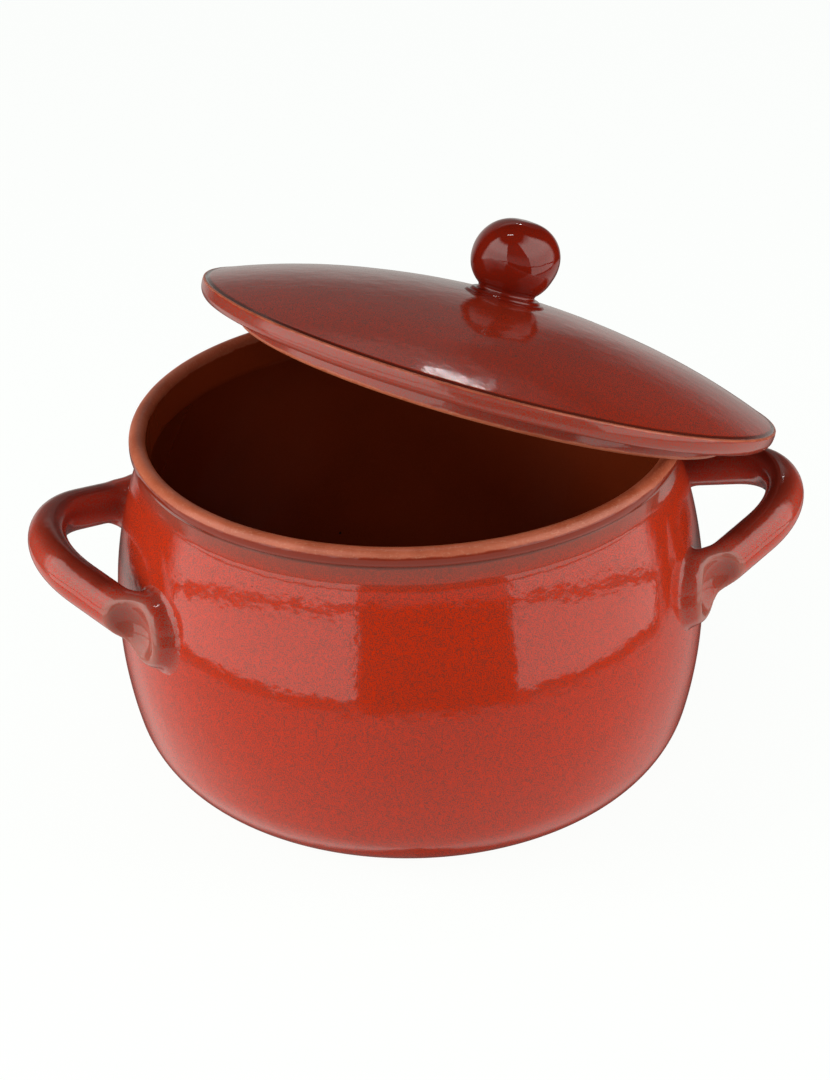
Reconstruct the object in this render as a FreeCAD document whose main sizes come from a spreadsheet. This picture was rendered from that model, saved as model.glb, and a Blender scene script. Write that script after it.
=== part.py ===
import FreeCAD, Part
import math
import os
import Sketcher
from FreeCAD import Placement, Rotation, Vector

# A glazed earthenware soup pot with two coil handles and a loose domed lid.
# Millimetres. +Z is up, the origin is the middle of the flat base, and the
# handles point along -X and +X. The lid lies askew over the pot's rim, turned
# towards the back and the right. It keeps 0.3 mm or more clear of the rim and
# 4.9 mm clear of the right handle, so that no two solids touch across a joint.

doc = FreeCAD.newDocument("soup_tureen")
sheet = doc.addObject("Spreadsheet::Sheet", "dims")

DIMENSIONS = (
    # the pot's outside, from the base up
    ("base_radius", 71.0),
    ("heel_radius", 106.0),
    ("heel_height", 14.0),
    ("bend_radius", 122.6),
    ("bend_height", 38.0),
    ("belly_radius", 128.0),
    ("belly_height", 84.0),
    ("neck_radius", 115.8),
    ("neck_height", 152.0),
    ("crease_height", 160.2),
    ("pot_height", 168.0),
    ("mouth_radius", 111.0),
    ("rim_round", 3.5),
    ("bead_drop", 5.2),
    # how sharply each stretch of the outside curves
    ("heel_curve", 90.0),
    ("bend_curve", 40.0),
    ("flank_curve", 200.0),
    ("shoulder_curve", 187.0),
    # the pot's inside
    ("wall", 6.5),
    ("floor_thickness", 8.0),
    ("floor_radius", 68.0),
    ("hollow_heel_radius", 102.0),
    ("hollow_heel_height", 19.5),
    ("hollow_bend_radius", 116.2),
    ("hollow_bend_height", 40.0),
    # the handles: a coil of clay on a plane that rises outwards
    ("coil_diameter", 18.0),
    ("handle_rise", 21.0),
    ("root_height", 113.0),
    ("root_radius", 126.0),
    ("left_reach", 167.2),
    ("left_bend", 46.5),
    ("left_leg_angle", 46.0),
    ("left_spread", 53.0),
    ("left_turn", 182.5),
    ("right_reach", 175.4),
    ("right_bend", 39.0),
    ("right_leg_angle", 55.0),
    ("right_spread", 49.0),
    ("right_turn", -2.0),
    ("tip_radius", 9.6),
    ("pad_thickness", 12.0),
    ("pad_width", 15.0),
    ("pad_length", 17.0),
    ("pad_drop", 4.0),
    # the lid, measured from the plane of its sharp edge
    ("lid_radius", 128.5),
    ("lid_edge", 6.5),
    ("lid_taper", 1.0),
    ("lid_wall", 5.0),
    ("dome_height", 24.6),
    ("crown_curve", 360.0),
    ("crown_radius", 68.0),
    ("dome_curve", 313.5),
    ("flange_radius", 109.6),
    ("flange_wall", 3.6),
    ("flange_depth", 7.6),
    ("flange_round", 1.6),
    # the knob on the lid
    ("knob_height", 42.0),
    ("ball_round", 17.0),
    ("ball_flat", 2.5),
    ("throat_radius", 12.8),
    ("collar_radius", 17.5),
    ("collar_step", 15.5),
    ("collar_height", 1.4),
    # where the lid lies
    ("lid_shift_x", 39.8),
    ("lid_shift_y", 32.5),
    ("lid_rest_height", 181.3),
    ("lid_tilt", 23.0),
    ("lid_tilt_towards", 39.5),
)

for row, (alias, value) in enumerate(DIMENSIONS, start=1):
    sheet.set(f"A{row}", alias)
    sheet.set(f"B{row}", str(value))
    sheet.setAlias(f"B{row}", alias)
doc.recompute()


class Size:
    """A length that knows its value and the expression that gives it."""

    def __init__(self, value, text):
        self.value = value
        self.text = text

    def __add__(self, other):
        return Size(self.value + other.value, f"({self.text} + {other.text})")

    def __sub__(self, other):
        return Size(self.value - other.value, f"({self.text} - {other.text})")

    def __neg__(self):
        return Size(-self.value, f"(-{self.text})")

    def half(self):
        return Size(self.value / 2, f"({self.text} / 2)")


CELLS = {alias: Size(value, f"dims.{alias}") for alias, value in DIMENSIONS}
ZERO = Size(0.0, "0")


def cell(alias):
    return CELLS[alias]


def origin_plane(body, role):
    for feature in body.Origin.OriginFeatures:
        if feature.Role == role:
            return feature
    raise RuntimeError("no plane " + role)


def new_sketch(body, name, role):
    sketch = body.newObject("Sketcher::SketchObject", name)
    sketch.AttachmentSupport = [(origin_plane(body, role), "")]
    sketch.MapMode = "FlatFace"
    return sketch


def bind(sketch, kind, *items):
    """Adds a dimension, the last item being its Size, and ties it to the sheet."""
    size = items[-1]
    index = sketch.addConstraint(Sketcher.Constraint(kind, *items[:-1], size.value))
    sketch.setExpression(f"Constraints[{index}]", size.text)


def pin(sketch, geometry, end, corner):
    """Fixes one end of a line or arc at a corner, given as two Sizes."""
    across, up = corner
    if across is ZERO:
        sketch.addConstraint(Sketcher.Constraint("PointOnObject", geometry, end, -2))
    else:
        bind(sketch, "DistanceX", -1, 1, geometry, end, across)
    if up is ZERO:
        sketch.addConstraint(Sketcher.Constraint("PointOnObject", geometry, end, -1))
    else:
        bind(sketch, "DistanceY", -1, 1, geometry, end, up)


def add_arc(sketch, start, end, radius, leftward):
    """Adds an arc from start to end that bends left (anticlockwise) or right."""
    first, last = (start, end) if leftward else (end, start)
    chord = last - first
    middle = (first + last) * 0.5
    sideways = Vector(-chord.y, chord.x, 0).normalize()
    centre = middle + sideways * math.sqrt(radius ** 2 - (chord.Length / 2) ** 2)
    angles = [math.atan2(p.y - centre.y, p.x - centre.x) for p in (first, last)]
    if angles[1] < angles[0]:
        angles[1] += 2 * math.pi
    circle = Part.Circle(centre, Vector(0, 0, 1), radius)
    geometry = sketch.addGeometry(Part.ArcOfCircle(circle, *angles), False)
    return geometry, (1, 2) if leftward else (2, 1)


def draw_outline(sketch, outline):
    """Draws a closed outline. Each entry is (across, up) for a straight side
    that ends there, or (across, up, radius, leftward) for an arc."""
    count = len(outline)
    points = [Vector(entry[0].value, entry[1].value, 0) for entry in outline]
    sides = []
    for number, entry in enumerate(outline):
        start, end = points[number - 1], points[number]
        if len(entry) == 2:
            geometry = sketch.addGeometry(Part.LineSegment(start, end), False)
            ends = (1, 2)
        else:
            geometry, ends = add_arc(sketch, start, end, entry[2].value, entry[3])
            bind(sketch, "Radius", geometry, entry[2])
        sides.append((geometry, ends))
    for number, (geometry, ends) in enumerate(sides):
        following, following_ends = sides[(number + 1) % count]
        sketch.addConstraint(
            Sketcher.Constraint("Coincident", geometry, ends[1], following, following_ends[0]))
        pin(sketch, geometry, ends[1], outline[number][:2])


def turned_body(label, outline):
    """A body of revolution about Z, from an outline in the XZ plane."""
    body = doc.addObject("PartDesign::Body", label)
    sketch = new_sketch(body, label + "_outline", "XZ_Plane")
    draw_outline(sketch, outline)
    doc.recompute()
    turning = body.newObject("PartDesign::Revolution", label + "_turning")
    turning.Profile = sketch
    turning.ReferenceAxis = (sketch, ["V_Axis"])
    turning.Angle = 360.0
    doc.recompute()
    return body


def boolean(kind, label, base, tool):
    result = doc.addObject(kind, label)
    result.Label = label
    result.Base = base
    result.Tool = tool
    return result


# ---- the pot ----------------------------------------------------------------

rim_outside = cell("mouth_radius") + cell("rim_round") + cell("rim_round")
rim_centre_height = cell("pot_height") - cell("rim_round")

pot_form = turned_body("pot_form", [
    (ZERO, ZERO),
    (cell("base_radius"), ZERO),
    (cell("heel_radius"), cell("heel_height"), cell("heel_curve"), True),
    (cell("bend_radius"), cell("bend_height"), cell("bend_curve"), True),
    (cell("belly_radius"), cell("belly_height"), cell("flank_curve"), True),
    (cell("neck_radius"), cell("neck_height"), cell("shoulder_curve"), True),
    (cell("neck_radius"), cell("crease_height")),
    (rim_outside, cell("pot_height") - cell("bead_drop")),
    (rim_outside, rim_centre_height),
    (cell("mouth_radius") + cell("rim_round"), cell("pot_height"), cell("rim_round"), True),
    (ZERO, cell("pot_height")),
])

pot_hollow = turned_body("pot_hollow", [
    (ZERO, cell("floor_thickness")),
    (cell("floor_radius"), cell("floor_thickness")),
    (cell("hollow_heel_radius"), cell("hollow_heel_height"),
     cell("heel_curve") - cell("wall"), True),
    (cell("hollow_bend_radius"), cell("hollow_bend_height"),
     cell("bend_curve") - cell("wall"), True),
    (cell("belly_radius") - cell("wall"), cell("belly_height"),
     cell("flank_curve") - cell("wall"), True),
    (cell("neck_radius") - cell("wall"), cell("neck_height"),
     cell("shoulder_curve") - cell("wall"), True),
    (cell("mouth_radius"), rim_centre_height),
    (cell("mouth_radius") + cell("rim_round"), cell("pot_height"), cell("rim_round"), False),
    (ZERO, cell("pot_height")),
])

pot_body = boolean("Part::Cut", "pot_body", pot_form, pot_hollow)


# ---- the handles ------------------------------------------------------------

def coil(side):
    """The bent coil of one handle, drawn flat with +X pointing outwards."""
    body = doc.addObject("PartDesign::Body", side + "_coil")
    path = new_sketch(body, side + "_path", "XY_Plane")
    reach, bend = cell(side + "_reach"), cell(side + "_bend")
    angle, spread = cell(side + "_leg_angle"), cell(side + "_spread")
    centre = Vector(reach.value - bend.value, 0, 0)
    half_turn = math.radians(angle.value)
    circle = Part.Circle(centre, Vector(0, 0, 1), bend.value)
    touch = centre + Vector(math.cos(half_turn), math.sin(half_turn), 0) * bend.value
    run = (spread.value - touch.y) / math.cos(half_turn)
    foot = touch + Vector(-math.sin(half_turn), math.cos(half_turn), 0) * run
    mirrored = [Vector(point.x, -point.y, 0) for point in (foot, touch)]
    near_leg = path.addGeometry(Part.LineSegment(*mirrored), False)
    loop = path.addGeometry(Part.ArcOfCircle(circle, -half_turn, half_turn), False)
    far_leg = path.addGeometry(Part.LineSegment(touch, foot), False)
    for rule in (("Tangent", near_leg, 2, loop, 1), ("Tangent", loop, 2, far_leg, 1),
                 ("PointOnObject", loop, 3, -1), ("Symmetric", near_leg, 1, far_leg, 2, -1)):
        path.addConstraint(Sketcher.Constraint(*rule))
    bind(path, "Radius", loop, bend)
    bind(path, "DistanceX", -1, 1, loop, 3, reach - bend)
    bind(path, "DistanceY", -1, 1, far_leg, 2, spread)
    steepness = path.addConstraint(
        Sketcher.Constraint("Angle", loop, math.radians(2 * angle.value)))
    path.setExpression(f"Constraints[{steepness}]", f"2 * {angle.text} * 1 deg")
    doc.recompute()
    section = body.newObject("Sketcher::SketchObject", side + "_section")
    section.AttachmentSupport = [(path, "Edge1")]
    section.MapMode = "NormalToEdge"
    section.MapPathParameter = 0.0
    ring = section.addGeometry(
        Part.Circle(Vector(), Vector(0, 0, 1), cell("coil_diameter").value / 2), False)
    section.addConstraint(Sketcher.Constraint("Coincident", ring, 3, -1, 1))
    bind(section, "Radius", ring, cell("coil_diameter").half())
    doc.recompute()
    rolled = body.newObject("PartDesign::AdditivePipe", side + "_rolled")
    rolled.Profile = section
    rolled.Spine = (path, ["Edge1", "Edge2", "Edge3"])
    doc.recompute()
    turn = cell(side + "_turn").value
    rise = math.radians(cell("handle_rise").value)
    axis_height = cell("root_height").value - cell("root_radius").value * math.tan(rise)
    tilt = Rotation(Vector(0, 1, 0), -cell("handle_rise").value)
    body.Placement = Placement(
        Vector(0, 0, axis_height), Rotation(Vector(0, 0, 1), turn).multiply(tilt))
    body.setExpression(
        "Placement.Base.z", "dims.root_height - dims.root_radius * tan(dims.handle_rise * 1 deg)")
    tips = []
    for number, tip in enumerate((mirrored[0], foot)):
        ball = doc.addObject("Part::Sphere", f"{side}_tip_{number}")
        ball.setExpression("Radius", "dims.tip_radius")
        ball.Placement = Placement(body.Placement.multVec(tip), Rotation())
        tips.append(ball)
    return [body] + tips


def pad(side, name, sideways):
    """The flattened end of the coil, pressed on the wall."""
    blob = doc.addObject("Part::Ellipsoid", f"{side}_{name}_pad")
    blob.Radius1 = cell("pad_length").value
    blob.Radius2 = cell("pad_thickness").value
    blob.Radius3 = cell("pad_width").value
    blob.setExpression("Radius1", "dims.pad_length")
    blob.setExpression("Radius2", "dims.pad_thickness")
    blob.setExpression("Radius3", "dims.pad_width")
    wall_angle = cell(side + "_turn").value + math.degrees(
        math.asin(sideways / cell("root_radius").value))
    outwards = Rotation(Vector(0, 0, 1), wall_angle)
    place = outwards.multVec(Vector(cell("root_radius").value, 0, 0))
    place.z = cell("root_height").value - cell("pad_drop").value
    blob.Placement = Placement(place, outwards)
    blob.setExpression("Placement.Base.z", "dims.root_height - dims.pad_drop")
    return blob


def handle(side):
    spread = cell(side + "_spread").value
    joined = doc.addObject("Part::MultiFuse", side + "_joined")
    joined.Shapes = coil(side) + [pad(side, "near", -spread), pad(side, "far", spread)]
    return boolean("Part::Cut", "handle_" + side, joined, pot_form)


handle_left = handle("left")
handle_right = handle("right")


# ---- the lid and its knob ---------------------------------------------------

def crown_height(radius, curve, top):
    """How high a shallow crown stands at a radius from the axis."""
    drop = curve.value - math.sqrt(curve.value ** 2 - radius.value ** 2)
    text = f"({top.text} - {curve.text} + sqrt({curve.text}^2 - {radius.text}^2))"
    return Size(top.value - drop, text)


edge_foot = -cell("lid_edge")
flange_foot = -(cell("lid_edge") + cell("flange_depth"))
hollow_top = cell("dome_height") - cell("lid_wall")
hollow_curve = cell("crown_curve") - cell("lid_wall")
flange_inside = cell("flange_radius") - cell("flange_wall")

lid = turned_body("lid", [
    (ZERO, cell("dome_height"), cell("crown_curve"), True),
    (ZERO, hollow_top),
    (cell("crown_radius"), crown_height(cell("crown_radius"), hollow_curve, hollow_top),
     hollow_curve, False),
    (flange_inside, cell("lid_wall"), cell("dome_curve") - cell("lid_wall"), False),
    (flange_inside, flange_foot + cell("flange_round")),
    (flange_inside + cell("flange_round"), flange_foot, cell("flange_round"), True),
    (cell("flange_radius") - cell("flange_round"), flange_foot),
    (cell("flange_radius"), flange_foot + cell("flange_round"), cell("flange_round"), True),
    (cell("flange_radius"), edge_foot),
    (cell("lid_radius") - cell("lid_taper"), edge_foot),
    (cell("lid_radius"), ZERO),
    (cell("crown_radius"),
     crown_height(cell("crown_radius"), cell("crown_curve"), cell("dome_height")),
     cell("dome_curve"), True),
])

ball_height = cell("knob_height")
throat_top = Size(
    ball_height.value - math.sqrt(
        cell("ball_round").value ** 2
        - (cell("throat_radius").value - cell("ball_flat").value) ** 2),
    "(dims.knob_height - sqrt(dims.ball_round^2 - (dims.throat_radius - dims.ball_flat)^2))")
collar_top = cell("dome_height") + cell("collar_height")

lid_knob = turned_body("lid_knob", [
    (ZERO, ball_height + cell("ball_round")),
    (ZERO, cell("dome_height")),
    (cell("collar_radius"),
     crown_height(cell("collar_radius"), cell("crown_curve"), cell("dome_height")),
     cell("crown_curve"), False),
    (cell("collar_step"), collar_top),
    (cell("throat_radius"), throat_top),
    (cell("ball_flat"), ball_height + cell("ball_round"), cell("ball_round"), True),
])

lid_lean = Rotation(
    Vector(-math.sin(math.radians(cell("lid_tilt_towards").value)),
           math.cos(math.radians(cell("lid_tilt_towards").value)), 0),
    cell("lid_tilt").value)
for piece in (lid, lid_knob):
    piece.Placement = Placement(Vector(), lid_lean)
    piece.setExpression("Placement.Base.x", "dims.lid_shift_x")
    piece.setExpression("Placement.Base.y", "dims.lid_shift_y")
    piece.setExpression("Placement.Base.z", "dims.lid_rest_height")


# ---- checks and export ------------------------------------------------------

doc.recompute()
for item in doc.Objects:
    if {"Invalid", "Error"} & set(item.State):
        raise RuntimeError(f"{item.Name} failed: {item.State}")

os.makedirs("parts", exist_ok=True)
for piece in (pot_body, handle_left, handle_right, lid, lid_knob):
    shape = piece.Shape
    if shape.isNull() or not shape.isValid() or len(shape.Solids) != 1:
        raise RuntimeError(f"{piece.Label} is not one valid solid")
    shape.exportStep(f"parts/{piece.Label}.step")
    box = shape.optimalBoundingBox()
    print(piece.Label, f"{shape.Volume / 1000:.1f} cm3",
          f"{box.XLength:.1f} x {box.YLength:.1f} x {box.ZLength:.1f} mm")
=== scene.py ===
# %% [markdown]
# Soup tureen
#
# A round-bellied earthenware pot with two coil handles and a domed lid that has been lifted
# half off. It was thrown on a wheel, dipped in a red reactive glaze and fired. This lesson
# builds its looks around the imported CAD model: turned clay as lathe meshes, hand-pressed clay
# from a distance field, and one glaze recipe used thick, thin and worn away.

# %% Load the frame
import math
import bpy
import numpy as np
from mathutils import Matrix, Vector


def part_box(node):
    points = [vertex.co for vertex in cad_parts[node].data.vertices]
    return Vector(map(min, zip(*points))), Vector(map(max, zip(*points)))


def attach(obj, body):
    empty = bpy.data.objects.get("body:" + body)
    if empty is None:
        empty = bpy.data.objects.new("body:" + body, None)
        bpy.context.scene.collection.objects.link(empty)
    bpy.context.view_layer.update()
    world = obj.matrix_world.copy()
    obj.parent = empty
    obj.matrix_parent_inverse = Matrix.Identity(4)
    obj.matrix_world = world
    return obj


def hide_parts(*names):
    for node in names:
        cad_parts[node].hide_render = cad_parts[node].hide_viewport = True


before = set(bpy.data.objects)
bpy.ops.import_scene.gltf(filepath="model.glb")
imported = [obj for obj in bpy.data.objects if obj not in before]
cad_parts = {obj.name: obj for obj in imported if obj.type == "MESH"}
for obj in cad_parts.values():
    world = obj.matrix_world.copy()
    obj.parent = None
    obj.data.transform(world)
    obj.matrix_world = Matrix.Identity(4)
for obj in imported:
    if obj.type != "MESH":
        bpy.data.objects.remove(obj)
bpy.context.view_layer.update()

scene = bpy.context.scene

# %% [markdown]
# The sizes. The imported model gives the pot's height and width, so they are read from it, and
# the potter's own measures, such as the wall and the bead, are stated in millimetres.

# %% Read the main sizes from the frame
MM = 0.001
pot_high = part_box("pot_body")[1]
POT_HEIGHT = pot_high.z / MM
BELLY = round(pot_high.x / MM, 1)
MOUTH, RIM_ROUND = 111.0, 3.5
RIM_CENTRE = POT_HEIGHT - RIM_ROUND
print(f"pot {POT_HEIGHT:.1f} mm high, belly radius {BELLY:.1f} mm")

# %% [markdown]
# The camera stands a little over a metre away and looks down by about 29 degrees, with the
# pot's handles turned 5 degrees from square on. A long lens keeps the round pot calm. It is
# set first, so that every later choice can be judged from it.

# %% Set up the camera
CAMERA_TURN = math.radians(-5.0)
CAMERA_DOWN = math.radians(28.9)
CAMERA_ROLL = math.radians(-1.3)
CAMERA_AWAY = 1.18
side_on = Vector((math.cos(CAMERA_TURN), math.sin(CAMERA_TURN), 0))
depth = Vector((-side_on.y, side_on.x, 0))
back = -depth * math.cos(CAMERA_DOWN) + Vector((0, 0, math.sin(CAMERA_DOWN)))
upright = depth * math.sin(CAMERA_DOWN) + Vector((0, 0, math.cos(CAMERA_DOWN)))
look_at = side_on * 0.0024 + Vector((0, 0, 0.1083))

camera_data = bpy.data.cameras.new("studio_camera")
camera_data.lens = 90.0
camera_data.sensor_width = 36.0
camera = bpy.data.objects.new("studio_camera", camera_data)
scene.collection.objects.link(camera)
rolled_x = side_on * math.cos(CAMERA_ROLL) + upright * math.sin(CAMERA_ROLL)
rolled_y = upright * math.cos(CAMERA_ROLL) - side_on * math.sin(CAMERA_ROLL)
camera.matrix_world = Matrix.Translation(look_at + back * CAMERA_AWAY) @ Matrix(
    (rolled_x, rolled_y, back)).transposed().to_4x4()
scene.camera = camera

# %% [markdown]
# Thrown clay is round, so the pot and the lid are lathe shapes: an outline turned about an
# axis. The outline is drawn with straight runs and arcs, as a potter's rib would cut it. Each
# point of the mesh also remembers how far along the outline it lies, in millimetres. The
# materials use that number to know where glaze stops and bare clay begins.

# %% Helpers for an outline
def arc(start, end, radius, leftward=True, steps=16):
    """Points after start on an arc to end, bending left or right of the way it goes."""
    start, end = np.array(start, float), np.array(end, float)
    across = end - start
    sideways = np.array((-across[1], across[0])) / np.linalg.norm(across)
    reach = math.sqrt(max(radius ** 2 - (np.linalg.norm(across) / 2) ** 2, 0.0))
    centre = (start + end) / 2 + sideways * (reach if leftward else -reach)
    first = math.atan2(*(start - centre)[::-1])
    last = math.atan2(*(end - centre)[::-1])
    if leftward and last < first:
        last += 2 * math.pi
    if not leftward and last > first:
        last -= 2 * math.pi
    angles = np.linspace(first, last, steps + 1)[1:]
    return [tuple(centre + radius * np.array((math.cos(a), math.sin(a)))) for a in angles]


def outline(start, *runs):
    """Joins runs into one list of points. A run is (end,) or (end, radius, leftward, steps)."""
    points = [start]
    for run in runs:
        points += [run[0]] if len(run) == 1 else arc(points[-1], *run)
    return points


def spread_out(points, longest=2.0):
    """Adds points so that no run is longer than a given length."""
    result = [points[0]]
    for a, b in zip(points, points[1:]):
        pieces = max(1, math.ceil(math.dist(a, b) / longest))
        result += [tuple(np.array(a) + (np.array(b) - a) * k / pieces)
                   for k in range(1, pieces + 1)]
    return result

# %% [markdown]
# A spin or a screw modifier could turn the outline, but neither keeps the length along it. Here
# the rings are laid in code, one ring for each point of the outline, so that the length can be
# stored on every point of the mesh and a small wobble can be given to each ring.

# %% Turn an outline into a mesh
def along_outline(points):
    steps = np.linalg.norm(np.diff(np.array(points), axis=0), axis=1)
    return np.concatenate(([0.0], np.cumsum(steps)))


def finish_piece(name, vertices, faces, lengths, place=None):
    """Makes a smooth mesh object, with the lengths along the outline stored on it.

    A leaning piece is turned in its mesh, so that its box is read exactly.
    """
    mesh = bpy.data.meshes.new(name)
    mesh.from_pydata(vertices, [], faces)
    if place is not None:
        mesh.transform(place)
    mesh.polygons.foreach_set("use_smooth", [True] * len(mesh.polygons))
    layer = mesh.attributes.new("along", "FLOAT", "POINT")
    layer.data.foreach_set("value", lengths)
    mesh.update()
    piece = bpy.data.objects.new(name, mesh)
    scene.collection.objects.link(piece)
    return piece


def lathe(name, points, around=256, wobble=None, place=None):
    """Turns an outline that starts and ends on the axis. wobble(angle, r, z) gives (dr, dz)."""
    points = spread_out(points)
    lengths = along_outline(points)
    angles = np.arange(around) * 2 * math.pi / around
    vertices, values = [], []
    for (r, z), length in zip(points[1:-1], lengths[1:-1]):
        dr, dz = wobble(angles, r, z) if wobble else (0.0, 0.0)
        ring_r, ring_z = r + dr + 0 * angles, z + dz + 0 * angles
        ring = np.stack((ring_r * np.cos(angles), ring_r * np.sin(angles), ring_z), axis=1)
        vertices.append(ring * MM)
        values += [length] * around
    rings = len(vertices)
    vertices = np.concatenate(vertices).tolist()
    vertices += [(0, 0, points[0][1] * MM), (0, 0, points[-1][1] * MM)]
    values += [lengths[0], lengths[-1]]
    faces = []
    for k in range(around):
        n = (k + 1) % around
        faces.append((rings * around, n, k))
        for ring in range(rings - 1):
            a, b = ring * around, (ring + 1) * around
            faces.append((a + k, a + n, b + n, b + k))
        last = (rings - 1) * around
        faces.append((last + k, last + n, rings * around + 1))
    piece = finish_piece(name, vertices, faces, values, place)
    print(name, len(vertices), "points")
    return piece

# %% [markdown]
# The pot. Its outline runs from the middle of the foot, up over the bend and the belly to the
# waisted neck, over the rolled rim and down inside. The wheel leaves faint rings and a body
# that is a hair out of round, so a small sum of waves is added to the radius.

# %% Throw the pot
NECK, NECK_HEIGHT, CREASE_HEIGHT = 115.8, 152.0, 160.2
BELLY_HEIGHT, BEND, BEND_HEIGHT, HEEL, HEEL_HEIGHT = 84.0, 122.6, 38.0, 106.0, 14.0
BEAD = 2.6
RIM_OUTSIDE = MOUTH + 2 * RIM_ROUND
WALL = 6.5
pot_outside = outline(
    (0.0, 0.6), ((66.0, 0.6),), ((69.0, 0.0),), ((71.0, 0.15),),
    ((HEEL, HEEL_HEIGHT), 90.0, True, 18), ((BEND, BEND_HEIGHT), 40.0, True, 18),
    ((BELLY, BELLY_HEIGHT), 200.0, True, 24), ((NECK + 0.25, NECK_HEIGHT - 2.0), 187.0, True, 34),
    ((NECK, NECK_HEIGHT + 1.0), 12.0, False, 4), ((NECK + 0.2, CREASE_HEIGHT),),
    ((RIM_OUTSIDE + 0.1, CREASE_HEIGHT + BEAD), BEAD, True, 8),
    ((RIM_OUTSIDE + 0.1, RIM_CENTRE - 0.5),))
rim_start = along_outline(pot_outside)[-1]
rim_top = arc(pot_outside[-1], (MOUTH + RIM_ROUND, POT_HEIGHT), RIM_ROUND + 0.35, True, 10)
rim_top += arc(rim_top[-1], (MOUTH, RIM_CENTRE), RIM_ROUND + 0.1, True, 10)
rim_end = along_outline(pot_outside + rim_top)[-1]
pot_inside = outline(
    rim_top[-1], ((NECK - WALL, NECK_HEIGHT),),
    ((BELLY - WALL, BELLY_HEIGHT), 180.5, False, 30), ((116.2, 40.0), 193.5, False, 20),
    ((102.0, 19.5), 33.5, False, 16), ((68.0, 8.0), 83.5, False, 16), ((0.0, 8.0),))[1:]
pot_outline = pot_outside + rim_top + pot_inside


def thrown(angle, r, z):
    """The wheel's marks: rings up the wall, and a body slightly out of round."""
    rings = 0.012 * math.sin(z * 0.31) + 0.02 * math.sin(z * 0.12 + 1.0)
    oval = 0.35 * np.cos(2 * angle + 0.6) + 0.12 * np.cos(3 * angle + 2.0)
    lift = 0.25 * np.cos(2 * angle + 1.4) * (z > 100)
    strength = min(r / 60.0, 1.0)
    return (rings + oval) * strength, lift * strength


pot_shell = lathe("pot_shell", pot_outline, 320, thrown)
print(f"glaze ends {rim_start:.0f} mm along, bare rim to {rim_end:.0f} mm")

# %% [markdown]
# The lid is a shallow dome with a sharp edge, a short face below it and a flange that drops
# into the pot's mouth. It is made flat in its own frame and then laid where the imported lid
# lies: leaning by 23 degrees towards the back and the right.

# %% Place the lid's own frame
LID_SHIFT = Vector((39.8, 32.5, 181.3)) * MM
LID_TILT, LID_TOWARDS = math.radians(23.0), math.radians(39.5)
lean_axis = Vector((-math.sin(LID_TOWARDS), math.cos(LID_TOWARDS), 0))
lid_place = Matrix.Translation(LID_SHIFT) @ Matrix.Rotation(LID_TILT, 4, lean_axis)
lid_low, lid_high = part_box("lid")
print("packed lid from", tuple(round(v, 3) for v in lid_low), "to",
      tuple(round(v, 3) for v in lid_high))

# %% [markdown]
# The potter throws the dome, turns its edge sharp and leaves a flange below that keeps the lid
# in place. A scaled disc with a bevel would lose the small groove behind the edge, where dark
# glaze gathers, so the edge's steps are all in the outline.

# %% Throw the lid
CROWN, CROWN_CURVE, DOME_CURVE, DOME_TOP = 68.0, 360.0, 300.0, 24.6
CROWN_DROP = CROWN_CURVE - math.sqrt(CROWN_CURVE ** 2 - CROWN ** 2)
lid_top = outline(
    (0.0, DOME_TOP), ((CROWN, DOME_TOP - CROWN_DROP), CROWN_CURVE, False, 30),
    ((126.0, 1.7), DOME_CURVE, False, 30), ((126.6, 0.95),), ((127.1, 0.8),), ((127.7, 1.1),),
    ((128.6, 0.2), 0.9, False, 5))
edge_at = along_outline(lid_top)[-1]
lid_under = outline(
    lid_top[-1], ((128.45, -3.4), 12.0, False, 4), ((127.0, -6.0), 5.0, False, 5),
    ((126.0, -6.5), 1.2, False, 3), ((111.2, -6.5),), ((109.7, -7.8), 1.4, True, 4),
    ((109.5, -12.2),), ((107.8, -14.0), 1.8, False, 6), ((106.2, -12.6), 1.7, False, 6))[1:]
flange_at = along_outline(lid_top + lid_under)[-9]
lid_hollow = outline(
    lid_under[-1], ((106.0, 5.0),), ((CROWN, 13.1), 308.5, True, 18),
    ((0.0, 19.6), 355.0, True, 18))[1:]


def turned_lid(angle, r, z):
    """A dome that is a little uneven, with soft turning marks near its edge."""
    marks = 0.01 * math.sin(r * 0.5) * (r > 30)
    oval = 0.25 * np.cos(2 * angle + 2.2) * min(r / 60.0, 1.0)
    warp = 0.30 * np.cos(2 * angle + 0.4) * (r / 128.0) ** 2
    return oval, warp + marks


lid_dome = lathe("lid_dome", lid_top + lid_under + lid_hollow, 320, turned_lid, lid_place)
print(f"sharp edge {edge_at:.0f} mm along, flange foot near {flange_at:.0f} mm")

# %% [markdown]
# The knob is a ball of clay pressed a little flat, set on the dome with two soft rings. Its
# outline is turned too, and then a slow wave dents it, because fingers shaped it.

# %% Shape the knob
BALL_HEIGHT, BALL_ROUND, BALL_FLAT = 42.0, 17.0, 2.5
knob_outline = outline(
    (0.0, BALL_HEIGHT + BALL_ROUND - 0.2), ((BALL_FLAT, BALL_HEIGHT + BALL_ROUND),),
    ((BALL_FLAT + BALL_ROUND, BALL_HEIGHT), BALL_ROUND, False, 22),
    ((13.2, 28.6), BALL_ROUND, False, 14), ((12.6, 27.5), 1.8, True, 5),
    ((13.6, 26.3), 1.6, True, 5), ((15.6, 25.6), 1.5, False, 5), ((16.2, 25.1), 0.8, True, 4),
    ((17.6, 24.6), 1.4, False, 5), ((18.8, 23.9), 2.5, True, 4), ((18.4, 23.2),), ((0.0, 23.2),))


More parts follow.
